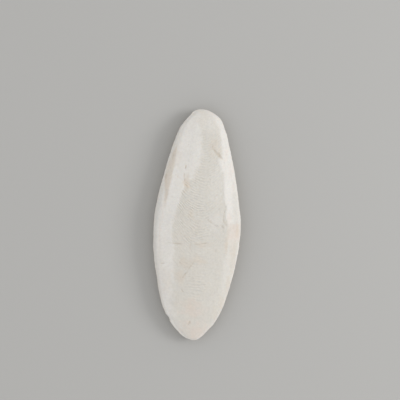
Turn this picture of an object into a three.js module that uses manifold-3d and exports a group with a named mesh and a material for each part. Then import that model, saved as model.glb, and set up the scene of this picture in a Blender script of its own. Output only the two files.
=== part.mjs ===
// A cuttlebone: the chalky inner shell of a cuttlefish, dried, grown as one piece.
// It rests on its hard, arched back with its soft, finely ridged face up.
// Millimetres. +Y runs along the bone to its blunt end, +X to the right seen from above, +Z up.
// The origin is under the middle of the bone, on the surface that it rests on.

import * as THREE from "three";
import { ConvexGeometry } from "three/addons/geometries/ConvexGeometry.js";
import { mergeVertices } from "three/addons/utils/BufferGeometryUtils.js";
import Module from "manifold-3d";

const LENGTH = 120;
const HALF = LENGTH / 2;

// Stations run from the tapered tip to the blunt tip, evenly in angle, at y = -HALF * cos(angle).
// Lists of 13 have one every 15 degrees, and lists of 7 one every 30. These three are x.
const LEFT_EDGE = [0.4, -4.9, -10.9, -16.0, -19.2, -21.7, -22.2, -20.7, -17.2, -13.8, -9.9, -4.8, -0.2];
const RIGHT_EDGE = [0.4, 4.6, 9.9, 14.7, 18.2, 21.1, 22.2, 20.2, 17.5, 14.4, 11.6, 6.2, -0.2];
const SEAM = [0.4, 0.6, 1.0, 1.6, 2.0, 2.2, 2.2, 1.8, -0.7, 0.8, -0.7, -0.8, -0.2];

const RIM_THICKNESS = [1.2, 1.2, 1.2, 1.2, 1.3, 1.6, 1.8];
const DOME_HEIGHT = [0, 1.8, 3.5, 4.4, 3.9, 2.6, 0]; // crown of the soft face above the rim

// Lines along the soft face, as shares of the half width.
// The plateau is worn flat. A flank slopes from it to the margin line, and a steep margin to the rim.
const LEFT_PLATEAU = [0.5, 0.58, 0.58, 0.58, 0.5, 0.46, 0.46];
const RIGHT_PLATEAU = [0.6, 0.66, 0.72, 0.73, 0.65, 0.72, 0.7];
const LEFT_MARGIN = [0.9, 0.9, 0.9, 0.9, 0.9, 0.9, 0.9, 0.79, 0.78, 0.83, 0.89, 0.9, 0.9];
const RIGHT_MARGIN = [0.92, 0.92, 0.92, 0.92, 0.92, 0.92, 0.92];

// Heights on those lines, as shares of the dome height.
const PLATEAU_EDGE_HEIGHT = 0.8;
const LEFT_MARGIN_HEIGHT = [0.5, 0.5, 0.47, 0.45, 0.45, 0.46, 0.48, 0.66, 0.7, 0.64, 0.5, 0.5, 0.5];
const RIGHT_MARGIN_HEIGHT = [0.45, 0.45, 0.42, 0.38, 0.26, 0.28, 0.4];
const MARGIN_MIDDLE_HEIGHT = 0.6; // of the margin line's height

// The hard back: a shallow keel along the middle with a groove and a low rib on each side.
const BLUNT_LIFT = 4.6; // the keel's rise at the tips
const TAPERED_LIFT = 4.2;
const LIFT_POWER = 2.2;
const BACK_SAG = 7.9; // the rim above the keel, halfway along
const SAG_POWER = 2.1;
const SAG_FADE = 1.5; // the higher, the flatter the back towards the tips
const BACK_SHARES = [-1, -0.8, -0.58, -0.38, -0.24, 0.24, 0.38, 0.58, 0.8, 1];
const RIB_SHAPE = { 0.38: 0.45, 0.58: -0.2 }; // the groove goes up into the back, the rib out of it
const REST_DEPTH = 0.6; // what is flat where the keel meets the surface

// The cut ends of the layers cross the plateau as fine ridges, each a wide U open to the blunt end.
// The seam runs along the bottoms of the Us. The shares count from it to the plateau's edges.
const RIDGE_PITCH = 1.4;
const RIDGE_DEPTH = 0.18;
const RIDGES_FROM = -53;
const RIDGES_TO = 47;
const RIDGE_FADE = 8;
const U_RISE = 11.5; // how far a ridge runs forward on its way to the plateau's edge
const U_WIDTH = 0.63;
const PLATEAU_SHARES = [-1, -0.8, -0.6, -0.4, -0.2, 0, 0.04, 0.22, 0.42, 0.62, 0.82, 1];

// A smooth outer layer covers the flanks, and the plateau left of the seam at the blunt end.
const LAYER_THICKNESS = 0.35;
const LAYER_START = 22;
const LAYER_FULL = 33;
const LEDGE_WIDTH = 0.4; // the layer's broken edge, along the right side of the plateau
const LEDGE_HEIGHT = 0.25;

// Dents in the left edge (-1) and the right one (1). One with a depth below 0 is a bulge.
const DENTS = [
  { side: -1, y: -48.7, halfLength: 1.9, depth: 0.6 },
  { side: -1, y: 54.6, halfLength: 4.0, depth: 0.5 },
  { side: 1, y: 50.2, halfLength: 2.6, depth: 0.35 },
  { side: 1, y: 55.8, halfLength: 2.6, depth: -0.35 },
  { side: 1, y: -54.8, halfLength: 3.0, depth: 0.42 },
];

const GOUGES = [
  { from: [6.4, 39.2], to: [11.3, 34.7], width: 1.2, depth: 0.55 },
  { from: [5.0, 3.3], to: [11.3, -1.5], width: 0.7, depth: 0.35 },
  { from: [11.8, 0.6], to: [15.2, -2.6], width: 0.7, depth: 0.35 },
  { from: [-13.6, -10.3], to: [-7.4, -10.4], width: 0.7, depth: 0.45 },
  { from: [-1.6, -10.2], to: [5.2, -9.2], width: 0.6, depth: 0.3 },
  { from: [-6.6, -27.8], to: [-0.8, -18.5], width: 0.7, depth: 0.3 },
  { from: [-1.7, -49.8], to: [-2.9, -52.0], width: 1.0, depth: 0.5 },
  { from: [-7.2, 30.3], to: [-8.0, 26.0], width: 1.1, depth: 0.45 },
  { from: [-8.1, 21.6], to: [-5.2, 18.4], width: 0.9, depth: 0.45 },
];
const GOUGE_CLEARANCE = 0.25; // the cutter's top above the face

const TIP_ROWS = 5;
const BONE_COLOUR = 0xe0dcd2;

// A smooth curve through evenly spaced stations, at a share of the way from 0 to 1.
function along(stations, share) {
  const last = stations.length - 1;
  const place = THREE.MathUtils.clamp(share, 0, 1) * last;
  const i = Math.min(Math.floor(place), last - 1);
  const t = place - i;
  const before = i > 0 ? stations[i - 1] : 2 * stations[0] - stations[1];
  const after = i + 2 <= last ? stations[i + 2] : 2 * stations[last] - stations[last - 1];
  const slopeIn = (stations[i + 1] - before) / 2;
  const slopeOut = (after - stations[i]) / 2;
  const rise = stations[i + 1] - stations[i];
  const square = 3 * rise - 2 * slopeIn - slopeOut;
  const cube = slopeIn + slopeOut - 2 * rise;
  return stations[i] + t * (slopeIn + t * (square + t * cube));
}

const shareAt = (y) => Math.acos(THREE.MathUtils.clamp(-y / HALF, -1, 1)) / Math.PI;

// 0 at the tips and 1 halfway along.
const fullness = (y) => Math.sin(Math.PI * shareAt(y));

// How far in a dent moves a point, most on the rim and nothing from 0.8 of the half width inwards.
function dentDepth({ side, y, halfLength, depth }, pointY, across) {
  const profile = Math.max(0, 1 - ((pointY - y) / halfLength) ** 2);
  const rimShare = Math.max(0, side * across - 0.8) / 0.2;
  return -side * depth * profile * rimShare;
}

// x at a share of the half width, from -1 on the left edge to 1 on the right one.
function acrossAt(y, across) {
  const left = along(LEFT_EDGE, shareAt(y));
  const right = along(RIGHT_EDGE, shareAt(y));
  const dents = DENTS.reduce((sum, dent) => sum + dentDepth(dent, y, across), 0);
  return (left + right) / 2 + ((right - left) / 2) * across + dents;
}

function keelLift(y) {
  const lift = y > 0 ? BLUNT_LIFT : TAPERED_LIFT;
  return lift * Math.abs(y / HALF) ** LIFT_POWER;
}

// Height of the hard back at a share of the half width, 0 on the keel and 1 on the rim.
function backHeight(y, across) {
  const arch = BACK_SAG * Math.abs(across) ** SAG_POWER;
  const rib = RIB_SHAPE[Math.abs(across)] ?? 0;
  return Math.max(0, keelLift(y) + (arch + rib) * fullness(y) ** SAG_FADE - REST_DEPTH);
}

const rimHeight = (y) => backHeight(y, 1) + along(RIM_THICKNESS, shareAt(y));
const layerThickness = (y) => LAYER_THICKNESS * fullness(y);

// Rows are named by their y on the seam. The Us fade out towards the tips, so that the tips stay round.
const uStrength = (row) => Math.sin((Math.PI * (row + HALF)) / LENGTH) ** 1.5;
const uShape = (across) => Math.hypot(1, across / U_WIDTH) - 1;
const uRise = (across) => (U_RISE * uShape(across)) / uShape(1);
const flankY = (row) => row + uStrength(row) * U_RISE;

// Rows are half a ridge apart, and closer together at the tips.
function rowPlaces() {
  const rows = [];
  for (let i = 1; i <= TIP_ROWS; i++) {
    rows.push(-HALF + (HALF + RIDGES_FROM) * (i / (TIP_ROWS + 1)) ** 2);
    rows.push(HALF - (HALF - RIDGES_TO) * (i / (TIP_ROWS + 1)) ** 2);
  }
  for (let y = RIDGES_FROM; y <= RIDGES_TO; y += RIDGE_PITCH / 2) {
    rows.push(y);
  }
  return rows.sort((a, b) => a - b);
}

// Ridge and furrow by turns, fading out towards both ends and towards the plateau's edges.
function ridgeHeight(row, across) {
  const ends = Math.min(row - RIDGES_FROM, RIDGES_TO - row) / RIDGE_FADE;
  const fade = THREE.MathUtils.clamp(ends, 0, 1) * (1 - across ** 4);
  return (RIDGE_DEPTH / 2) * fade * Math.cos((2 * Math.PI * (row - RIDGES_FROM)) / RIDGE_PITCH);
}

// One point of the plateau, -1 being its left edge, 0 the seam and 1 its right edge.
function plateauPoint(row, across) {
  const y = row + uStrength(row) * uRise(across);
  const share = shareAt(y);
  const edge = across < 0 ? -along(LEFT_PLATEAU, share) : along(RIGHT_PLATEAU, share);
  const x = THREE.MathUtils.lerp(along(SEAM, share), acrossAt(y, edge), Math.abs(across));
  const crown = 1 - (1 - PLATEAU_EDGE_HEIGHT) * across * across;
  const covered = across <= 0 ? THREE.MathUtils.smoothstep(y, LAYER_START, LAYER_FULL) : 0;
  const relief = THREE.MathUtils.lerp(ridgeHeight(row, across), layerThickness(y), covered);
  return [x, y, rimHeight(y) + along(DOME_HEIGHT, share) * crown + relief];
}

// The points of a flank from the rim in to halfway between the margin line and the plateau.
function flankPoints(row, side, plateauLine, marginLine, marginHeights) {
  const y = flankY(row);
  const share = shareAt(y);
  const plateau = along(plateauLine, share);
  const margin = along(marginLine, share);
  const marginHeight = along(marginHeights, share);
  const places = [
    [1, 0],
    [(1 + margin) / 2, marginHeight * MARGIN_MIDDLE_HEIGHT],
    [margin, marginHeight],
    [(margin + plateau) / 2, (marginHeight + PLATEAU_EDGE_HEIGHT) / 2],
  ];
  const dome = along(DOME_HEIGHT, share);
  return places.map(([across, height]) => [acrossAt(y, side * across), y, rimHeight(y) + height * dome]);
}

// The broken inner edge of the smooth layer stands a little above the plateau's right edge.
function ledgePoint(row) {
  const [x, y, z] = plateauPoint(row, 1);
  return [x + LEDGE_WIDTH * fullness(y), y, z + LEDGE_HEIGHT * fullness(y)];
}

function backPoints(row) {
  const y = flankY(row);
  return BACK_SHARES.map((across) => [acrossAt(y, across), y, backHeight(y, across)]);
}

// One closed ring round the bone: over the soft face from left to right, and back under it.
function ring(row) {
  return [
    ...flankPoints(row, -1, LEFT_PLATEAU, LEFT_MARGIN, LEFT_MARGIN_HEIGHT),
    ...PLATEAU_SHARES.map((across) => plateauPoint(row, across)),
    ledgePoint(row),
    ...flankPoints(row, 1, RIGHT_PLATEAU, RIGHT_MARGIN, RIGHT_MARGIN_HEIGHT).reverse(),
    ...backPoints(row).reverse(),
  ];
}

function tipPoint(end) {
  const y = end * HALF;
  return [acrossAt(y, 0), y, (backHeight(y, 1) + rimHeight(y)) / 2];
}

function bodyGeometry() {
  const rings = rowPlaces().map(ring);
  const size = rings[0].length;
  const taperedTip = rings.length * size;
  const bluntTip = taperedTip + 1;
  const faces = [];
  for (let j = 0; j < size; j++) {
    const next = (j + 1) % size;
    faces.push(taperedTip, next, j, bluntTip, taperedTip - size + j, taperedTip - size + next);
    for (let start = 0; start < taperedTip - size; start += size) {
      const [a, b] = [start + j, start + next];
      faces.push(a, b, a + size, b, b + size, a + size);
    }
  }
  const points = [...rings.flat(2), ...tipPoint(-1), ...tipPoint(1)];
  return new THREE.BufferGeometry()
    .setAttribute("position", new THREE.Float32BufferAttribute(points, 3))
    .setIndex(faces);
}

const wasm = await Module();
wasm.setup();

function toSolid(geometry) {
  geometry.deleteAttribute("normal");
  geometry.deleteAttribute("uv");
  const merged = mergeVertices(geometry, 1e-4);
  const vertProperties = merged.getAttribute("position").array;
  return new wasm.Manifold(
    new wasm.Mesh({ numProp: 3, vertProperties, triVerts: new Uint32Array(merged.index.array) }),
  );
}

function toGeometry(solid) {
  const mesh = solid.getMesh();
  return new THREE.BufferGeometry()
    .setAttribute("position", new THREE.BufferAttribute(mesh.vertProperties, 3))
    .setIndex(new THREE.BufferAttribute(mesh.triVerts, 1));
}

// Height of the soft face at a point, by a ray from above.
function faceHeight(face, x, y) {
  const ray = new THREE.Raycaster(new THREE.Vector3(x, y, LENGTH), new THREE.Vector3(0, 0, -1));
  return ray.intersectObject(face)[0].point.z;
}

// A scratch is cut with a thin diamond that is deepest at the middle of its length.
function gougeCutter(face, { from, to, width, depth }) {
  const start = new THREE.Vector3(...from, faceHeight(face, ...from) + GOUGE_CLEARANCE);
  const end = new THREE.Vector3(...to, faceHeight(face, ...to) + GOUGE_CLEARANCE);
  const middle = start.clone().lerp(end, 0.5);
  const floor = faceHeight(face, middle.x, middle.y) - depth;
  const aside = end.clone().sub(start).cross(new THREE.Vector3(0, 0, 1)).setLength(width / 2);
  return new ConvexGeometry([
    start,
    end,
    middle.clone().add(aside),
    middle.clone().sub(aside),
    middle.clone().setZ(floor),
  ]);
}

function boneGeometry() {
  const body = bodyGeometry();
  const face = new THREE.Mesh(body, new THREE.MeshBasicMaterial({ side: THREE.DoubleSide }));
  const cutters = GOUGES.map((gouge) => toSolid(gougeCutter(face, gouge)));
  return toGeometry(cutters.reduce((solid, cutter) => solid.subtract(cutter), toSolid(body)));
}

const boneMaterial = new THREE.MeshStandardMaterial({ color: BONE_COLOUR, roughness: 0.9, metalness: 0 });
const cuttlebone = new THREE.Mesh(boneGeometry(), boneMaterial);
cuttlebone.name = "cuttlebone";

const part = new THREE.Group();
part.add(cuttlebone);

export default part;
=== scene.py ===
# A cuttlebone lying on its hard back on a pale floor, seen from straight above.
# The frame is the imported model's: +Y towards the blunt end, +X to the right, +Z up, metres.
# The bone's form is worked out in millimetres, and becomes metres where its mesh is made.

import math

import bpy
import numpy as np
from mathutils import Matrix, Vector


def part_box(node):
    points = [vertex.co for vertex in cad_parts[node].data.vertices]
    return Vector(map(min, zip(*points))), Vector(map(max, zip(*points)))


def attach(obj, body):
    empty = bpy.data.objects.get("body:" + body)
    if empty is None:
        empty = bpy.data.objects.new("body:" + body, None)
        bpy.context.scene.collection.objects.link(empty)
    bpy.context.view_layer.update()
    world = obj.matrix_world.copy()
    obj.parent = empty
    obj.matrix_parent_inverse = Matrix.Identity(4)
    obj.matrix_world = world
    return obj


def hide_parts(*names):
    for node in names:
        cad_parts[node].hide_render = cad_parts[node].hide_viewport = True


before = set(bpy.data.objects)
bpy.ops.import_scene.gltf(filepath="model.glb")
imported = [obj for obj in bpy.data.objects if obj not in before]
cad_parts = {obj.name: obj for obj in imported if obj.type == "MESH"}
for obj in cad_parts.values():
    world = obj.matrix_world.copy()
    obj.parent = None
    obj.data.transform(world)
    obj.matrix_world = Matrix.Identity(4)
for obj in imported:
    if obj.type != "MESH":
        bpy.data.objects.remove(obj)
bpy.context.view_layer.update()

MM = 0.001
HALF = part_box("cuttlebone")[1].y / MM

# The form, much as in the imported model. Stations run from the tapered tip to the blunt tip, evenly in
# angle, at y = -HALF * cos(angle). These three lists are the x of both edges and of the plateau's middle.
LEFT_EDGE = [0.4, -4.9, -10.9, -16.0, -19.2, -21.7, -22.2, -20.7, -17.2, -13.8, -9.9, -4.8, -0.2]
RIGHT_EDGE = [0.4, 4.6, 9.9, 14.7, 18.2, 21.1, 22.2, 20.2, 17.5, 14.4, 11.6, 6.2, -0.2]
SEAM = [0.4, 0.6, 1.0, 1.6, 2.0, 2.2, 2.2, 1.8, -0.7, 0.8, -0.7, -0.8, -0.2]

# How thick the rim is, how high the soft face rises above it, and how far its rounded edge bulges out.
RIM_THICKNESS = [1.2, 1.2, 1.2, 1.2, 1.3, 1.6, 1.8]
DOME_HEIGHT = [0, 1.8, 3.5, 4.4, 3.9, 2.6, 0]
RIM_BULGE = 0.3

# Where the plateau ends and where the margin starts, as shares of the half width.
LEFT_PLATEAU = [0.5, 0.58, 0.58, 0.58, 0.5, 0.46, 0.46]
RIGHT_PLATEAU = [0.6, 0.66, 0.72, 0.73, 0.65, 0.72, 0.7]
LEFT_MARGIN = [0.9, 0.9, 0.9, 0.9, 0.9, 0.9, 0.9, 0.79, 0.78, 0.83, 0.89, 0.9, 0.9]
RIGHT_MARGIN = [0.92, 0.92, 0.92, 0.92, 0.92, 0.92, 0.92]

# Heights on those lines, as shares of the dome's. The margin's middle is at a share of its start's height.
PLATEAU_EDGE_HEIGHT = 0.8
LEFT_MARGIN_HEIGHT = [0.5, 0.5, 0.47, 0.45, 0.45, 0.46, 0.48, 0.66, 0.7, 0.64, 0.5, 0.5, 0.5]
RIGHT_MARGIN_HEIGHT = [0.45, 0.45, 0.42, 0.38, 0.26, 0.28, 0.4]
MARGIN_MIDDLE_HEIGHT = 0.75

# How far the creases of the soft face are rounded off, as (y, millimetres).
# It fades over the outermost share of the half width, so that the edge stays crisp.
ROUNDING = [(-60, 1.4), (0, 1.2), (9, 0.7), (28, 0.7), (44, 1.3)]
UNROUNDED_SHARE = 0.12

# The hard back: how it rises to the tips and to the rim, and the groove and rib on each side of its keel.
BLUNT_LIFT, TAPERED_LIFT, LIFT_POWER = 4.6, 4.2, 2.2
BACK_SAG, SAG_POWER, SAG_FADE = 7.9, 2.1, 1.5
REST_DEPTH = 0.6
RIB_SHARES = [0, 0.24, 0.38, 0.58, 0.8, 1]
RIB_HEIGHTS = [0, 0, 0.45, -0.2, 0, 0]

# Its growth lines, as height and pitch, and its granules.
GROWTH_LINES = [(0.05, 2.7), (0.07, 9.4)]
BACK_GRANULE_PITCH, BACK_GRANULE_RADIUS, BACK_GRANULE_HEIGHT = 1.15, 0.55, 0.11

# How far the mesh's rows bend forward from the middle of the plateau to its edges, and how sharply.
U_RISE, U_WIDTH = 11.5, 0.63

# Dents in the edge, as side, y, half length and depth. One below 0 is a bulge.
# They move the points that are farther out than this share of the half width.
DENTS_FROM = 0.8
DENTS = [
    (-1, -48.7, 1.9, 0.5), (-1, 54.6, 4.0, 0.4), (1, 50.2, 2.6, 0.35), (1, 55.8, 2.6, -0.35),
    (1, -54.8, 3.0, 0.42), (-1, 20.5, 13.0, 0.36), (-1, 40.0, 9.0, 0.2), (-1, -44.0, 16.0, -0.2),
    (-1, 58.6, 1.6, -0.4), (-1, -57.8, 1.8, -0.3),
]

# The mesh: rows of points along the bone, closer together near the tips, and columns round it.
ROW_STEP = 0.27
TIP_LENGTH = 3.0
TIP_ROWS = 10
PLATEAU_COLUMNS = 78
FLANK_COLUMNS = 24
RIM_COLUMNS = 5
BACK_COLUMNS = 80

# Where the smooth outer layer ends and the worn, striated face begins, as (x, y) from the tapered tip,
# and the width over which it does, as (y, width).
WORN_LEFT = [
    (-3, -60), (-6, -55), (-8.6, -50), (-11.4, -44), (-12.2, -38), (-11.7, -32), (-11.4, -26.7),
    (-11.3, -18), (-11.5, -10.2), (-12.8, -4.2), (-12.9, 0.2), (-11.1, 7.2), (-9.2, 14.2), (-7.8, 19.6),
    (-6.6, 21.8), (-5.0, 22.6), (-3.6, 24.6), (-2.3, 26.6), (-0.7, 30.2), (0.5, 34.5), (0.0, 39.8),
    (-0.3, 44.1), (-0.6, 50.1), (-0.8, 60),
]
WORN_RIGHT = [
    (20, -60), (18, -46), (14.4, -39), (13.6, -30), (14.1, -23.9), (14.5, -17.8), (15.3, -14.2),
    (15.5, -11), (15.2, -7.9), (15.0, -5.0), (15.7, -2.4), (15.6, -0.3), (14.9, 1.4), (14.3, 3.4),
    (14.3, 5.4), (14.5, 7.6), (14.3, 10), (13.9, 11.4), (13.2, 13.4), (13.1, 15.8), (12.5, 18.6),
    (12.6, 21), (12.4, 23), (12.7, 25.6), (11.4, 28.2), (10.3, 30.1), (9.4, 32.0), (8.6, 33.9),
    (9.3, 35.2), (11.3, 36.6), (10.6, 43.6), (9.4, 49.7), (7.0, 54), (3, 60),
]
LEFT_SOFTNESS = [
    (-60, 4), (-45, 6), (-33, 4.5), (-20, 3), (-10, 1.8), (8, 2), (18, 1.6), (22, 3.2), (34, 3.4),
    (48, 3.4),
]
RIGHT_SOFTNESS = [
    (-60, 8), (-45, 6), (-30, 3), (-18, 2.2), (-2, 1.6), (0.5, 0.9), (11, 1.0), (14, 1.2), (24, 1.2),
    (28, 2.2), (34, 2.2), (38, 1.5), (48, 2),
]

# The smooth layer's height above the worn face, as (y, millimetres).
LEFT_LAYER = [(-40, 0.0), (-20, 0.07), (12, 0.1), (22, 0.26), (48, 0.2)]
RIGHT_LAYER = [(-40, 0.0), (-20, 0.08), (-6, 0.14), (1, 0.24), (12, 0.24), (30, 0.2), (48, 0.14)]

# The worn face ends between the first two y. Below the third, only a share of the right layer is left.
WORN_END = (45.0, 56.0)
RIGHT_LAYER_END = 0.9
LOWER_LAYER_SHARE = 0.36

# Soft patches that are less worn, as middle, half width, half length and share.
LESS_WORN = [(10, 23, 4.5, 13, 0.35), (9.5, 1.5, 3.5, 5, 0.5)]

# The striae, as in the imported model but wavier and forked, and flatter towards the tapered end.
# Clearness is how well they and the granules between them show, as (y, share). Forks are at points (x, y).
STRIA_PITCH = 1.4
STRIA_DEPTH = 0.2
GRANULE_DEPTH = 0.08
STRIA_MIDDLE = 2.0
STRIA_CLEARNESS = [
    (-48, 0), (-39, 0.1), (-36, 0.6), (-34, 0.9), (-28, 0.9), (-25, 0.5), (-20, 0.5), (-16, 0.35),
    (-11.5, 0.35), (-8.5, 1), (22, 1), (30, 0.65), (52, 0.5),
]
GRANULE_CLEARNESS = [
    (-60, 0.35), (-40, 0.4), (-30, 0.7), (-12, 0.6), (-6, 1.3), (22, 1.1), (32, 1.5), (46, 1.2),
]
STRIA_FORKS = [
    (-6.5, 14), (4.2, 9.5), (-2.6, 3.2), (7.8, 17.5), (1.4, -6.8), (-8.2, -14), (6.9, -18.6),
    (-3.1, -24.4), (3.6, -31.9), (-7.4, -38.2), (9.6, -3.3), (5.1, 38.5), (3.3, 27.7), (-0.6, 19.2),
]

# Scratches and cracks, as start, end, width and depth.
GOUGES = [
    ((6.3, 39.6), (12.0, 34.0), 2.1, 0.36),
    ((6.2, 42.0), (6.4, 38.6), 0.7, 0.26),
    ((4.4, 35.6), (6.0, 34.2), 0.6, 0.12),
    ((5.9, 34.0), (3.8, 31.6), 0.5, 0.1),
    ((4.6, 3.2), (8.1, 0.7), 0.7, 0.21),
    ((7.6, 1.1), (10.7, -1.0), 0.7, 0.11),
    ((11.3, 0.8), (14.5, -1.4), 0.7, 0.18),
    ((-13.4, -9.9), (-6.9, -10.1), 0.75, 0.26),
    ((-15.6, -9.8), (-12.4, -9.9), 0.6, 0.14),
    ((-2.0, -10.2), (2.2, -9.8), 0.65, 0.18),
    ((1.4, -9.9), (5.4, -9.1), 0.65, 0.18),
    ((-2.7, -7.4), (-3.6, -13.0), 0.65, 0.13),
    ((-6.7, -28.0), (-3.8, -23.2), 0.55, 0.24),
    ((-4.3, -23.8), (-0.6, -18.4), 0.6, 0.21),
    ((-18.5, -20.4), (-15.8, -20.5), 0.7, 0.24),
    ((-7.2, -33.2), (-5.7, -35.5), 0.8, 0.25),
    ((-1.6, -49.6), (-3.0, -52.2), 1.3, 0.5),
    ((-8.0, 21.4), (-5.3, 18.4), 0.8, 0.16),
    ((-7.0, 30.6), (-7.7, 28.2), 1.0, 0.26),
    ((-7.9, 26.6), (-8.0, 24.0), 0.9, 0.2),
    ((-7.3, 23.8), (-7.9, 21.8), 0.8, 0.2),
    ((-17.2, 26.2), (-17.5, 22.4), 0.9, 0.14),
    ((-13.7, 36.6), (-14.4, 32.4), 0.8, 0.12),
    ((14.5, 11.6), (14.0, 8.6), 0.5, 0.12),
    ((14.1, 9.2), (13.3, 5.6), 0.65, 0.18),
    ((13.5, 6.4), (13.0, 3.0), 0.7, 0.22),
    ((12.9, 3.6), (14.1, 1.0), 0.7, 0.24),
    ((13.7, 1.5), (15.7, 0.1), 0.65, 0.2),
]

# Raised edges beside the cracks, as start, end, width and height.
RIDGES = [
    ((8.8, 1.6), (13.9, -2.6), 0.8, 0.2),
    ((14.2, 7.6), (14.8, 2.6), 0.7, 0.2),
    ((15.0, 4.0), (16.4, 0.4), 0.8, 0.2),
]

# Small round pits, scattered over the face within these x and y, and the ranges of their radius and depth.
SMALL_PITS = 130
PIT_X, PIT_Y = (-14, 15), (-54, 54)
PIT_RADIUS, PIT_DEPTH = (0.3, 0.6), (0.03, 0.1)

# The depth from which a scratch or a pit gets the full painted shade of the brownish recess colour.
RECESS_SHADE_DEPTH = 0.22

# Brown stains and pink blushes, as middle, half width, half length and strength.
STAINS = [
    (-6.4, -18.9, 4.5, 4.2, 1.1), (-5.0, -20.5, 4.2, 4.8, 0.95), (0.5, -18.2, 5.5, 2.8, 0.95),
    (-7.8, -26.5, 3.6, 4.8, 0.9), (2.2, -10.0, 5.0, 1.8, 1.2), (-3.0, 5.6, 2.6, 3.2, 1.0),
    (-1.0, -1.5, 3.5, 4.5, 0.45), (-6.5, 21.2, 2.3, 5.6, 1.5), (7.0, 41.0, 3.0, 6.0, 0.7),
    (9.8, 38.0, 2.0, 3.5, 0.6), (15.3, -10.0, 1.1, 5.5, 1.6), (15.8, -3.0, 0.9, 3.6, 1.3),
    (-2.0, -41.0, 8.0, 3.5, 0.45), (19.2, -14.5, 2.0, 13.0, 0.9), (1.0, 56.5, 9.0, 6.0, 0.4),
    (-8.0, -6.0, 4.5, 17.0, 0.25), (-18.0, -24.0, 3.0, 16.0, 0.3), (-16.9, 12.0, 0.8, 5.5, 0.5),
    (-17.1, 23.5, 1.0, 5.0, 1.0), (-13.5, 35.0, 1.0, 4.0, 0.8), (-11.0, 35.0, 2.4, 9.0, 0.6),
    (20.8, -2.5, 1.3, 5.0, 1.7), (0.0, -22.0, 6.0, 14.0, 0.2), (17.2, -31.5, 1.9, 7.0, 0.9),
    (14.3, -40.0, 2.1, 6.5, 0.7), (11.2, -46.0, 2.4, 5.0, 0.7), (-14.6, -29.0, 3.2, 9.0, 0.5),
]
BLUSHES = [
    (0.0, -44.0, 8.5, 6.5, 0.75), (1.5, -55.0, 9.0, 8.0, 0.9), (13.4, 36.5, 1.6, 5.0, 0.35),
    (16.1, 28.5, 1.5, 6.5, 0.4), (18.0, 20.0, 1.0, 5.5, 0.35), (16.3, 4.0, 1.4, 3.6, 0.9),
    (-18.0, 5.0, 0.6, 6.5, 0.6), (-19.2, -4.0, 0.6, 6.0, 0.6),
]

# The flushed part of the right flank: the x of its inner side, the y of its upper end, and its length.
WARM_PATCH = (15.9, 0.9, 8.0)

# The steep facet trimmed off the upper left edge: its inner and outer lines, as (x, y).
FACET_INNER = [
    (-17.8, 6.5), (-16.8, 10.2), (-15.7, 14.4), (-15.3, 17.5), (-14.7, 20.6), (-14.15, 23.8),
    (-13.8, 26.9), (-13.0, 30.1), (-12.7, 33.2), (-12.5, 36.3), (-12.0, 39.5),
]
FACET_OUTER = [
    (-18.3, 6.5), (-17.3, 10.2), (-17.4, 14.4), (-17.6, 17.5), (-17.8, 20.6), (-17.6, 24.6),
    (-16.8, 29.2), (-15.8, 32.8), (-14.0, 37.5), (-12.1, 41.5),
]
FACET_DEPTH = 0.7

# Between which y the facet's colour and its depth fade in, and between which they fade out.
FACET_COLOUR_FADES = (6.5, 11.5), (42, 38.5)
FACET_DEPTH_FADES = (9.5, 15), (42, 35)

# The right flank's dish: its depth, the x where it starts, and its width.
DISH_DEPTH, DISH_START, DISH_WIDTH = 0.4, 14, 6.5


def along(stations, share):
    """A smooth curve through evenly spaced stations, at shares of the way from 0 to 1."""
    values = np.array(stations, float)
    before = 2 * values[0] - values[1]
    after = 2 * values[-1] - values[-2]
    padded = np.concatenate([[before], values, [after]])
    place = np.clip(share, 0, 1) * (len(values) - 1)
    i = np.minimum(place.astype(int), len(values) - 2)
    t = place - i
    a, b, c, d = (padded[i + k] for k in range(4))
    return b + t / 2 * (c - a + t * (2 * a - 5 * b + 4 * c - d + t * (3 * (b - c) + d - a)))


def smoothstep(low, high, value):
    t = np.clip((value - low) / (high - low), 0, 1)
    return t * t * (3 - 2 * t)


def between(pairs, place):
    """Straight lines through (place, value) pairs."""
    return np.interp(place, *zip(*pairs))


def lattice(i, j, seed):
    """A repeatable value from -1 to 1 for each pair of whole numbers."""
    n = (i * 374761393 + j * 668265263 + seed * 974634777) & 0xFFFFFFFF
    n = ((n ^ (n >> 13)) * 1274126177) & 0xFFFFFFFF
    return (n ^ (n >> 16)) / 0x7FFFFFFF - 1


def noise(x, y, size, seed):
    """Smooth noise from -1 to 1, with lumps of the given size."""
    u, v = x / size, y / size
    i, j = np.floor(u).astype(np.int64), np.floor(v).astype(np.int64)
    s, t = smoothstep(0, 1, u - i), smoothstep(0, 1, v - j)
    low = lattice(i, j, seed) * (1 - s) + lattice(i + 1, j, seed) * s
    high = lattice(i, j + 1, seed) * (1 - s) + lattice(i + 1, j + 1, seed) * s
    return low * (1 - t) + high * t


def nearest_cell(x, y, size, seed):
    """Distance to the nearest of one random point per square of the given size."""
    i, j = np.floor(x / size).astype(np.int64), np.floor(y / size).astype(np.int64)
    nearest = np.full(x.shape, np.inf)
    for di in (-1, 0, 1):
        for dj in (-1, 0, 1):
            px = (i + di + 0.5 + 0.4 * lattice(i + di, j + dj, seed)) * size
            py = (j + dj + 0.5 + 0.4 * lattice(i + di, j + dj, seed + 1)) * size
            nearest = np.minimum(nearest, np.hypot(x - px, y - py))
    return nearest


def share_at(y):
    return np.arccos(np.clip(-y / HALF, -1, 1)) / math.pi


def fullness(y):
    """0 at the tips and 1 halfway along."""
    return np.sin(math.pi * share_at(y))


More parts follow.
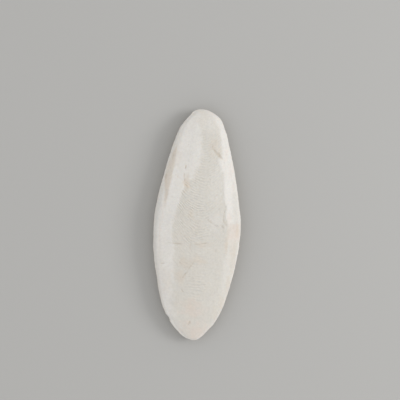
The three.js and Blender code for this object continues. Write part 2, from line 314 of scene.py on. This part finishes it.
def across_at(y, across):
    """x at a share of the half width, from -1 on the left edge to 1 on the right one."""
    left = along(LEFT_EDGE, share_at(y))
    right = along(RIGHT_EDGE, share_at(y))
    x = (left + right) / 2 + (right - left) / 2 * across
    for side, dent_y, half_length, depth in DENTS:
        dent = depth * np.maximum(0, 1 - ((y - dent_y) / half_length) ** 2)
        x = x - side * dent * np.maximum(0, side * across - DENTS_FROM) / (1 - DENTS_FROM)
    wobble = 0.1 * noise(y, np.sign(across), 2.3, 5) + 0.06 * noise(y, np.sign(across), 0.9, 6)
    rim_share = smoothstep(0.8, 1, np.abs(across)) * np.sign(across)
    return x + wobble * rim_share * fullness(y)


def back_height(y, across):
    """Height of the hard back, 0 being the keel and -1 and 1 the rim."""
    lift = np.where(y > 0, BLUNT_LIFT, TAPERED_LIFT) * np.abs(y / HALF) ** LIFT_POWER
    arch = BACK_SAG * np.abs(across) ** SAG_POWER
    rib = np.interp(np.abs(across), RIB_SHARES, RIB_HEIGHTS)
    return np.maximum(0, lift + (arch + rib) * fullness(y) ** SAG_FADE - REST_DEPTH)


def rim_height(y):
    return back_height(y, np.ones_like(y)) + along(RIM_THICKNESS, share_at(y))


def u_shape(across):
    return np.hypot(1, across / U_WIDTH) - 1


def row_y(row, across):
    """y of a row at a place on the plateau: rows bend in a U, much as the striae do."""
    strength = np.sin(math.pi * (row + HALF) / (2 * HALF)) ** 1.5
    return row + strength * U_RISE * u_shape(np.clip(across, -1, 1)) / u_shape(1)


def row_places():
    tip = TIP_LENGTH * (np.arange(1, TIP_ROWS) / TIP_ROWS) ** 2
    middle = np.arange(TIP_LENGTH - HALF, HALF - TIP_LENGTH + ROW_STEP / 2, ROW_STEP)
    return np.concatenate([-HALF + tip, middle, (HALF - tip)[::-1]])


def line_x(points, y):
    """x at each y of a line given as (x, y) from low y to high."""
    xs, ys = zip(*points)
    return np.interp(y, ys, xs)


def distance_right_of(points, x, y):
    """How far a place is to the right of such a line."""
    slope = line_x(points, y + 0.5) - line_x(points, y - 0.5)
    return (x - line_x(points, y)) / np.hypot(1, slope)


def ragged(x, y, seed):
    """Noise of three sizes, for the uneven edges of a layer."""
    coarse = 0.35 * noise(x, y, 3.1, seed) + 0.3 * noise(x, y, 1.4, seed + 1)
    return coarse + 0.2 * noise(x, y, 0.7, seed + 2)


def lower_end_softness(x):
    """How softly the right layer and the flushed part end, sharpest next to the rim."""
    return 2.2 - 1.8 * smoothstep(17.5, 19, x)


def layer_masks(x, y):
    """Where the smooth layer is whole on the left and on the right."""
    left_softness, right_softness = between(LEFT_SOFTNESS, y), between(RIGHT_SOFTNESS, y)
    from_left = distance_right_of(WORN_LEFT, x, y) + ragged(x, y, 11) * (0.7 + 0.35 * left_softness)
    from_right = -distance_right_of(WORN_RIGHT, x, y) + ragged(x, y, 15) * (0.7 + 0.35 * right_softness)
    left = smoothstep(left_softness / 2, -left_softness / 2, from_left)
    right = smoothstep(right_softness / 2, -right_softness / 2, from_right)
    end = 0.55 * smoothstep(*WORN_END, y + 3.5 * ragged(x, y, 19))
    softness = lower_end_softness(x)
    kept = smoothstep(-softness, softness, y - RIGHT_LAYER_END + 0.7 * ragged(x, y, 17))
    rubbed = 0.5 * smoothstep(16, 19.5, x + noise(x, y, 2.6, 18)) * smoothstep(26, 14, y)
    right = right * (LOWER_LAYER_SHARE + (1 - LOWER_LAYER_SHARE) * kept) * (1 - rubbed)
    return np.maximum(left, end), np.maximum(right, end)


def segment_groove(x, y, start, end, width):
    """1 along the middle of a short line, falling to 0 at its sides and ends."""
    (x0, y0), (x1, y1) = start, end
    length = math.hypot(x1 - x0, y1 - y0)
    t = ((x - x0) * (x1 - x0) + (y - y0) * (y1 - y0)) / length**2
    bend = 0.14 * noise(t * length, np.full_like(t, x0), 1.3, 21)
    d = ((x - x0) * (y1 - y0) - (y - y0) * (x1 - x0)) / length + bend
    taper = np.clip(1 - (2 * t - 1) ** 2, 0, 1) ** 0.6
    uneven = 0.85 + 0.3 * noise(t * length, np.full_like(t, y0), 0.9, 22)
    return np.clip(1 - np.abs(d) / (width / 2 * np.maximum(taper, 1e-3)), 0, 1) * taper * uneven


def damage(x, y):
    """Height of the scratches and pits, below 0, and a mask of painted shade in them, darker as they
    deepen.
    """
    height = np.zeros_like(x)
    for start, end, width, depth in GOUGES:
        height = np.minimum(height, -depth * segment_groove(x, y, start, end, width) ** 0.8)
    rng = np.random.default_rng(7)
    for _ in range(SMALL_PITS):
        px, py = rng.uniform(*PIT_X), rng.uniform(*PIT_Y)
        radius = rng.uniform(*PIT_RADIUS)
        depth = rng.uniform(*PIT_DEPTH)
        near = (np.abs(x - px) < radius) & (np.abs(y - py) < radius)
        r2 = ((x[near] - px) ** 2 + (y[near] - py) ** 2) / radius**2
        height[near] = np.minimum(height[near], -depth * np.clip(1 - r2, 0, 1))
    # This mask is painted shade: the deeper the recess, the darker it is coloured.
    mask = np.clip(-height / RECESS_SHADE_DEPTH, 0, 1)
    for start, end, width, rise in RIDGES:
        height += rise * segment_groove(x, y, start, end, width)
    return height, mask


def stria_turns(x, y):
    """How many striae there are up to a place. They hang in a U, which is flat at the tapered end."""
    spread = 8.3 - 2.8 * smoothstep(15, 42, y)
    rise = 1.25 * spread * (np.hypot(1, (x - STRIA_MIDDLE) / spread) - 1)
    rise = rise * (0.15 + 0.85 * smoothstep(-32, -6, y))
    warp = 0.7 * noise(x, y, 9, 41) + 0.52 * noise(x, y, 3.7, 42) + 0.36 * noise(x, y, 1.7, 43)
    return (y - rise + warp) / STRIA_PITCH


def stria_wave(x, y):
    """The cut ends of the layers, from -1 to 1, and how clearly they show."""
    turns = stria_turns(x, y)
    for k, (fork_x, fork_y) in enumerate(STRIA_FORKS):
        turns = turns + (-1) ** k * np.arctan2(y - fork_y, x - fork_x) / (2 * math.pi)
    phase = 2 * math.pi * turns
    wave = (np.sin(phase) + 0.35 * np.sin(2 * phase + 0.7)) / 1.2
    right_share = between([(1.5, 1), (4.5, 0.65), (8, 0.4), (13, 0.3), (17, 0)], x)
    at_tapered_end = smoothstep(-18, -25, y)
    at_lower_left = smoothstep(9, 5, y) * smoothstep(-4, -7, x)
    clear = between(STRIA_CLEARNESS, y) * (right_share + (1 - right_share) * smoothstep(24, 29, y))
    clear = clear * (1 - at_tapered_end * (1 - np.exp(-(((x - 1.6) / 5) ** 2))))
    clear = clear * (1 - 0.4 * at_lower_left)
    patchy = 0.6 + 0.42 * noise(x, y, 4.6, 44) + 0.75 * noise(x, y, 1.7, 45)
    return wave, clear * np.clip(patchy, 0.05, 1.3)


def patches(x, y, places, seed):
    """Ragged patches, given as middle, half width, half length and strength."""
    mask = np.zeros_like(x)
    for middle_x, middle_y, half_width, half_length, strength in places:
        r = np.hypot((x - middle_x) / half_width, (y - middle_y) / half_length)
        r = r + 0.35 * noise(x, y, 2.4, seed) + 0.2 * noise(x, y, 1.0, seed + 1)
        mask = np.maximum(mask, strength * smoothstep(1.15, 0.2, r))
    return mask


def stain_masks(x, y):
    """Where the face is stained brown, and where it is flushed pink."""
    stain, blush = patches(x, y, STAINS, 51), patches(x, y, BLUSHES, 58)
    inner_x, upper_y, length = WARM_PATCH
    softness = lower_end_softness(x)
    warm = smoothstep(-0.7, 0.7, x - inner_x + 0.6 * noise(x, y, 1.5, 53))
    warm = warm * smoothstep(softness, -softness, y - upper_y + 0.5 * noise(x, y, 1.2, 54))
    warm = warm * smoothstep(upper_y - length - 3, upper_y - length + 2, y + 0.8 * noise(x, y, 2.0, 59))
    return stain, np.maximum(blush, warm * (0.75 + 0.35 * noise(2.5 * x, y, 2.6, 55)))


def facet_mask(x, y):
    """Where the facet is, which its colour follows."""
    uneven = 0.25 * noise(x, y, 2.1, 56) + 0.12 * noise(x, y, 0.9, 57)
    inside = smoothstep(0.25, -0.25, distance_right_of(FACET_INNER, x, y) + 0.5 * uneven)
    inside = inside * smoothstep(-0.6, 0.6, distance_right_of(FACET_OUTER, x, y) + uneven)
    fade_in, fade_out = FACET_COLOUR_FADES
    return inside * smoothstep(*fade_in, y) * smoothstep(*fade_out, y)


def facet_drop(x, y):
    """How far the facet is cut down: most on its outer line, and nothing on its inner one and the rim."""
    inner, outer = line_x(FACET_INNER, y), line_x(FACET_OUTER, y)
    left = along(LEFT_EDGE, share_at(y))
    width = np.maximum(inner - outer, 0.3)
    drop = np.minimum((inner - x) / width, (x - left) / np.maximum(outer - left, 0.3))
    fade_in, fade_out = FACET_DEPTH_FADES
    return np.clip(drop, 0, 1) * smoothstep(*fade_in, y) * smoothstep(*fade_out, y)


def flank_height(place, edge, margin, margin_height):
    """Height out from the plateau's edge, as a share of the dome's."""
    middle = (1 + margin) / 2
    middle_height = margin_height * MARGIN_MIDDLE_HEIGHT
    slope = PLATEAU_EDGE_HEIGHT + (margin_height - PLATEAU_EDGE_HEIGHT) * (place - edge) / (margin - edge)
    inner = margin_height + (middle_height - margin_height) * (place - margin) / (middle - margin)
    outer = middle_height * (1 - place) / (1 - middle)
    return np.where(place < margin, slope, np.where(place < middle, inner, outer))


def crown_height(y, across):
    """Height at a share of the half width, as a share of the dome's, with sharp creases."""
    share = share_at(y)
    left, right, seam = (along(line, share) for line in (LEFT_EDGE, RIGHT_EDGE, SEAM))
    seam = (2 * seam - left - right) / np.maximum(right - left, 1e-6)
    left_edge, right_edge = along(LEFT_PLATEAU, share), along(RIGHT_PLATEAU, share)
    reach = np.where(across < seam, left_edge + seam, right_edge - seam)
    plateau_height = 1 - (1 - PLATEAU_EDGE_HEIGHT) * ((across - seam) / reach) ** 2
    left_margin, right_margin = along(LEFT_MARGIN, share), along(RIGHT_MARGIN, share)
    on_left = flank_height(-across, left_edge, left_margin, along(LEFT_MARGIN_HEIGHT, share))
    on_right = flank_height(across, right_edge, right_margin, along(RIGHT_MARGIN_HEIGHT, share))
    height = np.where(across < -left_edge, on_left, plateau_height)
    return np.where(across > right_edge, on_right, height)


def dome_height(y, across):
    """Height of the soft face above the rim, with its creases rounded off but not its edge."""
    share = share_at(y)
    half_width = np.maximum((along(RIGHT_EDGE, share) - along(LEFT_EDGE, share)) / 2, 1)
    step = np.minimum(between(ROUNDING, y) / half_width, 0.2) / 2
    step = step * np.clip((1 - np.abs(across)) / UNROUNDED_SHARE, 0, 1)
    weights = [math.exp(-(k**2) / 8) for k in range(-5, 6)]
    total = sum(w * crown_height(y, across + k * step) for k, w in zip(range(-5, 6), weights))
    return along(DOME_HEIGHT, share) * total / sum(weights)


def flank(rows, side):
    """x, y and share of the half width of a flank's points, from the plateau's edge out to the rim."""
    y = row_y(rows, 1.0)
    edge = along(LEFT_PLATEAU if side < 0 else RIGHT_PLATEAU, share_at(y))
    out = np.linspace(0, 1, FLANK_COLUMNS + 1)[1:]
    across = side * (edge[:, None] + (1 - edge[:, None]) * out[None])
    y = np.repeat(y[:, None], len(out), axis=1)
    return across_at(y, across), y, across


def plateau(rows):
    """The same for the plateau's points, from its left edge to its right edge."""
    place = np.linspace(-1, 1, PLATEAU_COLUMNS + 1)[None]
    y = row_y(rows[:, None], place)
    share = share_at(y)
    left, right, seam = (along(line, share) for line in (LEFT_EDGE, RIGHT_EDGE, SEAM))
    seam = (2 * seam - left - right) / (right - left)
    edge = np.where(place < 0, -along(LEFT_PLATEAU, share), along(RIGHT_PLATEAU, share))
    across = seam + (edge - seam) * np.abs(place)
    return across_at(y, across), y, across


def colouring(x, **given):
    """What colours a part's points, with 0 for what isn't given."""
    names = ("worn", "recess", "stain", "blush", "furrow", "facet", "turns", "back")
    return {name: given.get(name, np.zeros_like(x)) for name in names}


def soft_face(rows):
    """Points of the upper side from the left rim to the right rim, and what colours them."""
    left = [part[:, ::-1] for part in flank(rows, -1)]
    blocks = zip(left, plateau(rows), flank(rows, 1))
    x, y, across = (np.concatenate(block, axis=1) for block in blocks)
    dome = dome_height(y, across)
    inside = smoothstep(0, 1.2, dome) * fullness(y)
    left_layer, right_layer = layer_masks(x, y)
    worn = 1 - np.maximum(left_layer, right_layer)
    for middle_x, middle_y, half_width, half_length, share in LESS_WORN:
        r2 = ((x - middle_x) / half_width) ** 2 + ((y - middle_y) / half_length) ** 2
        worn = worn * (1 - share * np.exp(-r2))
    gouges, recess = damage(x, y)
    facet = facet_mask(x, y)
    stain, blush = stain_masks(x, y)
    wave, clear = stria_wave(x, y)

    # Unevenness, the layers' thickness, striae and granules, damage and the facet, and the flank's dish.
    relief = 0.16 * noise(x, y, 13, 61) + 0.07 * noise(x, y, 5.5, 62) + 0.02 * noise(x, y, 1.6, 63)
    relief += left_layer * between(LEFT_LAYER, y) + right_layer * between(RIGHT_LAYER, y)
    granules = noise(x, y, 1.0, 64) * 0.6 + noise(x, y, 0.6, 66) * 0.5
    striae = STRIA_DEPTH / 2 * clear * wave
    relief += worn * (striae + GRANULE_DEPTH * granules * between(GRANULE_CLEARNESS, y))
    relief += gouges - FACET_DEPTH * facet_drop(x, y) + 0.1 * facet * noise(x * 3, y, 3, 65)
    dish = np.sin(math.pi * np.clip((x - DISH_START) / DISH_WIDTH, 0, 1))
    relief -= DISH_DEPTH * dish * smoothstep(-8, 2, y) * smoothstep(34, 22, y)
    z = rim_height(y) + dome + relief * inside

    colours = colouring(
        x,
        worn=worn * smoothstep(0, 1, dome),
        recess=recess * inside,
        stain=stain,
        blush=blush,
        # Painted shade in the striae's troughs and painted light on their crests, following the wave of
        # their relief.
        furrow=0.5 - 0.5 * wave * worn * clear,
        facet=facet,
        turns=stria_turns(x, y),
    )
    return x, y, z, colours


def hard_back(rows):
    """Points of the underside from the right rim to the left rim."""
    across = np.linspace(1, -1, BACK_COLUMNS + 1)[None]
    y = np.repeat(row_y(rows, 1.0)[:, None], BACK_COLUMNS + 1, axis=1)
    x = across_at(y, np.repeat(across, len(rows), axis=0))
    inside = smoothstep(1.0, 0.9, np.abs(across)) * fullness(y)
    growth = np.hypot(y + HALF, 3.0 * x) + 0.9 * noise(x, y, 9, 71)
    lines = sum(height * np.sin(2 * math.pi * growth / pitch) for height, pitch in GROWTH_LINES)
    granules = np.clip(1 - (nearest_cell(x, y, BACK_GRANULE_PITCH, 72) / BACK_GRANULE_RADIUS) ** 2, 0, 1)
    granule_height = BACK_GRANULE_HEIGHT * (0.7 + 0.3 * noise(x, y, 6, 74))
    granule_height = granule_height * smoothstep(1.0, 0.75, np.abs(across))
    z = back_height(y, across) - (lines + granules * granule_height) * inside
    colours = colouring(
        x,
        # Painted shade in the hollows between the granules.
        recess=0.25 * (1 - granules) * inside,
        stain=0.5 + 0.4 * noise(x, y, 8, 75),
        # Painted shade in the growth lines' grooves and painted light on their crests.
        furrow=0.5 + lines * 3,
        turns=growth / 1.3,
        back=np.ones_like(x),
    )
    return x, y, np.maximum(0, z), colours


def rim(rows, side):
    """Points down the rim's rounded edge, from just under the soft face to just above the back."""
    down = np.linspace(0, 1, RIM_COLUMNS + 2)[1:-1][None]
    y = np.repeat(row_y(rows, 1.0)[:, None], RIM_COLUMNS, axis=1)
    bulge = RIM_BULGE * np.sin(math.pi * down) * fullness(y)
    x = across_at(y, np.full_like(y, side)) + side * bulge
    z = rim_height(y) + (back_height(y, np.ones_like(y)) - rim_height(y)) * down
    colours = colouring(
        x,
        stain=0.5 + 0.5 * noise(y, z * 4, 3, 81),
        furrow=np.full_like(x, 0.5),
        turns=z / 0.5,
        back=np.repeat(down, len(rows), axis=0),
    )
    return x, y, z, colours


def mirrored(part):
    """The same points in the other order round the bone."""
    *points, colours = part
    return (*(values[:, ::-1] for values in points), {k: v[:, ::-1] for k, v in colours.items()})


def bone_mesh():
    """One closed ring of points per row, joined by quads, with a fan of triangles at each tip."""
    rows = row_places()
    parts = [soft_face(rows), rim(rows, 1), hard_back(rows), mirrored(rim(rows, -1))]
    x, y, z = (np.concatenate([part[k] for part in parts], axis=1) for k in range(3))
    count, size = x.shape
    tips = []
    for end in (-HALF, HALF):
        tip_y = np.array([end])
        middle = (back_height(tip_y, np.ones(1)) + rim_height(tip_y)) / 2
        tips.append((across_at(tip_y, np.zeros(1))[0], end, middle[0]))
    points = np.concatenate([np.stack([x, y, z], axis=-1).reshape(-1, 3), tips]) * MM

    index = np.arange(count * size).reshape(count, size)
    turned = np.roll(index, -1, axis=1)
    quads = np.stack([index[:-1], turned[:-1], turned[1:], index[1:]], axis=-1).reshape(-1, 4)
    first, last = count * size, count * size + 1
    caps = [(first, b, a) for a, b in zip(index[0].tolist(), turned[0].tolist())]
    caps += [(last, a, b) for a, b in zip(index[-1].tolist(), turned[-1].tolist())]
    mesh = bpy.data.meshes.new("cuttlebone_surface")
    mesh.from_pydata(points.tolist(), [], quads.tolist() + caps)
    mesh.shade_smooth()
    for name in parts[0][3]:
        values = np.concatenate([part[3][name] for part in parts], axis=1).ravel()
        values = np.concatenate([values, [values[0], values[-1]]]).astype(np.float32)
        mesh.attributes.new(name, "FLOAT", "POINT").data.foreach_set("value", values)
    return mesh


class Nodes:
    """Short calls for building a material's node tree."""

    def __init__(self, name):
        self.material = bpy.data.materials.new(name)
        self.material.use_nodes = True
        self.tree = self.material.node_tree
        self.shader = self.tree.nodes["Principled BSDF"]

    def add(self, kind, inputs=(), **settings):
        node = self.tree.nodes.new(kind)
        for key, value in settings.items():
            setattr(node, key, value)
        for key, value in dict(inputs).items():
            if isinstance(value, bpy.types.NodeSocket):
                self.tree.links.new(value, node.inputs[key])
            else:
                node.inputs[key].default_value = value
        return node

    def attribute(self, name):
        return self.add("ShaderNodeAttribute", attribute_name=name).outputs["Fac"]

    def math(self, operation, a, b=0.0, c=0.0):
        return self.add("ShaderNodeMath", {0: a, 1: b, 2: c}, operation=operation).outputs[0]

    def noise(self, where, size, detail=3.0, roughness=0.5):
        """Noise from 0 to 1 with lumps of about the given size in metres."""
        inputs = {"Vector": where, "Scale": 1 / size, "Detail": detail, "Roughness": roughness}
        return self.add("ShaderNodeTexNoise", inputs).outputs["Fac"]

    def mix(self, amount, a, b, blend="MIX"):
        inputs = {0: amount, 6: a, 7: b}
        return self.add("ShaderNodeMix", inputs, data_type="RGBA", blend_type=blend).outputs[2]

    def mix_value(self, amount, a, b):
        return self.add("ShaderNodeMix", {0: amount, 2: a, 3: b}).outputs[0]

    def around_one(self, value, spread):
        """A value from 0 to 1 turned into a factor that varies about 1."""
        return self.math("MULTIPLY_ADD", value, spread, 1 - spread / 2)


SMOOTH_COLOUR = (0.80, 0.774, 0.732, 1)
WORN_COLOUR = (0.716, 0.687, 0.630, 1)
STAIN_COLOUR = (0.70, 0.61, 0.51, 1)
FACET_COLOUR = (0.87, 0.775, 0.69, 1)
FACET_DARK_COLOUR = (0.70, 0.64, 0.55, 1)
BLUSH_COLOUR = (0.79, 0.675, 0.60, 1)
# The brownish dark used as painted shade in scratches, pits and between the back's granules.
RECESS_SHADE_COLOUR = (0.52, 0.44, 0.34, 1)
BACK_COLOUR = (0.74, 0.68, 0.59, 1)


def bone_material():
    n = Nodes("chalky_bone")
    where = n.add("ShaderNodeTexCoord").outputs["Object"]
    lengthwise = n.add("ShaderNodeMapping", {"Vector": where, "Scale": (1.0, 0.15, 1.0)}).outputs[0]
    worn, back, facet = n.attribute("worn"), n.attribute("back"), n.attribute("facet")
    recess, stain, furrow = n.attribute("recess"), n.attribute("stain"), n.attribute("furrow")

    colour = n.mix(worn, SMOOTH_COLOUR, WORN_COLOUR)
    colour = n.mix(back, colour, BACK_COLOUR)
    tint = n.noise(where, 0.006, 3.0, 0.6)
    blushed = n.math("MULTIPLY", n.attribute("blush"), n.math("MULTIPLY_ADD", tint, 0.8, 0.1))
    colour = n.mix(blushed, colour, BLUSH_COLOUR)
    colour = n.mix(n.math("MULTIPLY", stain, n.math("MULTIPLY", tint, 0.7)), colour, STAIN_COLOUR)
    facet_colour = n.mix(n.noise(lengthwise, 0.0028, 3.0, 0.6), FACET_COLOUR, FACET_DARK_COLOUR)
    colour = n.mix(n.math("MULTIPLY", facet, n.math("MULTIPLY_ADD", tint, 0.8, 0.35)), colour, facet_colour)

    # The chalk is lighter and darker in patches and streaks; painted shade darkens the furrows of the
    # striae and of the back's growth lines, and lightens their crests.
    cloud = n.noise(where, 0.011, 4.0, 0.6)
    mottle = n.noise(where, 0.0012, 3.0, 0.65)
    streak = n.noise(lengthwise, 0.0011, 3.0, 0.6)
    shade = n.around_one(cloud, 0.09)
    shade = n.math("MULTIPLY", shade, n.around_one(mottle, 0.22))
    shade = n.math("MULTIPLY", shade, n.around_one(streak, 0.05))
    shade = n.math("MULTIPLY", shade, n.math("MULTIPLY_ADD", furrow, -0.17, 1.085))
    grey = n.add("ShaderNodeCombineColor", {0: shade, 1: shade, 2: shade}).outputs[0]
    colour = n.mix(1.0, colour, grey, "MULTIPLY")
    # Painted shade in scratches, pits and the hollows between the back's granules.
    colour = n.mix(n.math("MULTIPLY", recess, 0.58), colour, RECESS_SHADE_COLOUR)
    n.tree.links.new(colour, n.shader.inputs["Base Color"])

    rough = n.mix_value(worn, 0.62, 0.88)
    rough = n.math("MULTIPLY_ADD", mottle, 0.12, n.math("SUBTRACT", rough, 0.06))
    n.tree.links.new(rough, n.shader.inputs["Roughness"])

    # Three fine lines to each stria, and a grain.
    wobble = n.math("MULTIPLY", mottle, 1.2)
    fine = n.math("SINE", n.math("MULTIPLY_ADD", n.attribute("turns"), 2 * math.pi * 3.0, wobble))
    grain = n.noise(where, 0.00035, 3.0, 0.65)
    height = n.math("MULTIPLY", grain, n.mix_value(worn, 0.35, 1.0))
    height = n.math("MULTIPLY_ADD", n.math("MULTIPLY", fine, worn), 0.12, height)
    bump = n.add("ShaderNodeBump", {"Height": height, "Strength": 0.5, "Distance": 0.00006})
    n.tree.links.new(bump.outputs[0], n.shader.inputs["Normal"])

    n.shader.inputs["Specular IOR Level"].default_value = 0.35
    n.shader.inputs["Subsurface Weight"].default_value = 0.12
    n.shader.inputs["Subsurface Radius"].default_value = (1.0, 0.8, 0.6)
    n.shader.inputs["Subsurface Scale"].default_value = 0.0012
    return n.material


def add_bone():
    bone = bpy.data.objects.new("cuttlebone_surface", bone_mesh())
    bpy.context.scene.collection.objects.link(bone)
    bone.data.materials.append(bone_material())
    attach(bone, "root")
    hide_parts("cuttlebone")


FLOOR_SIZE = 3.0
FLOOR_GAP = 0.00005
FLOOR_COLOUR = (0.5, 0.495, 0.48, 1)


def add_floor():
    bpy.ops.mesh.primitive_plane_add(size=FLOOR_SIZE, location=(0, 0, -FLOOR_GAP))
    floor = bpy.context.object
    floor.name = "floor"
    n = Nodes("pale_floor")
    n.shader.inputs["Base Color"].default_value = FLOOR_COLOUR
    n.shader.inputs["Roughness"].default_value = 0.9
    floor.data.materials.append(n.material)


# The photograph is 400 pixels wide. The bone leans in it and lies below its middle.
PHOTO_WIDTH = 0.2076
PHOTO_MIDDLE = Vector((0.00086, 0.01287, 0.006))
PHOTO_LEAN = math.radians(2.35)
LENS = 120.0
SENSOR = 36.0


def add_camera():
    data = bpy.data.cameras.new("camera")
    data.lens = LENS
    data.sensor_width = SENSOR
    camera = bpy.data.objects.new("camera", data)
    bpy.context.scene.collection.objects.link(camera)
    camera.location = PHOTO_MIDDLE + Vector((0, 0, PHOTO_WIDTH * LENS / SENSOR))
    camera.rotation_euler = (0, 0, PHOTO_LEAN)
    data.clip_start = 0.01
    data.clip_end = 20
    bpy.context.scene.camera = camera


def add_area_light(name, direction, distance, size, power):
    data = bpy.data.lights.new(name, "AREA")
    data.size = size
    data.energy = power
    light = bpy.data.objects.new(name, data)
    bpy.context.scene.collection.objects.link(light)
    towards = Vector(direction).normalized()
    light.location = towards * distance
    light.rotation_euler = towards.to_track_quat("Z", "Y").to_euler()


def add_lights():
    world = bpy.data.worlds.new("studio")
    bpy.context.scene.world = world
    world.use_nodes = True
    background = world.node_tree.nodes["Background"]
    background.inputs["Color"].default_value = (1.0, 1.0, 1.0, 1)
    background.inputs["Strength"].default_value = 0.74
    add_area_light("key", direction=(1.0, 0.15, 0.65), distance=1.0, size=0.4, power=3.2)


add_bone()
add_floor()
add_camera()
add_lights()
bpy.context.scene.view_settings.view_transform = "Standard"
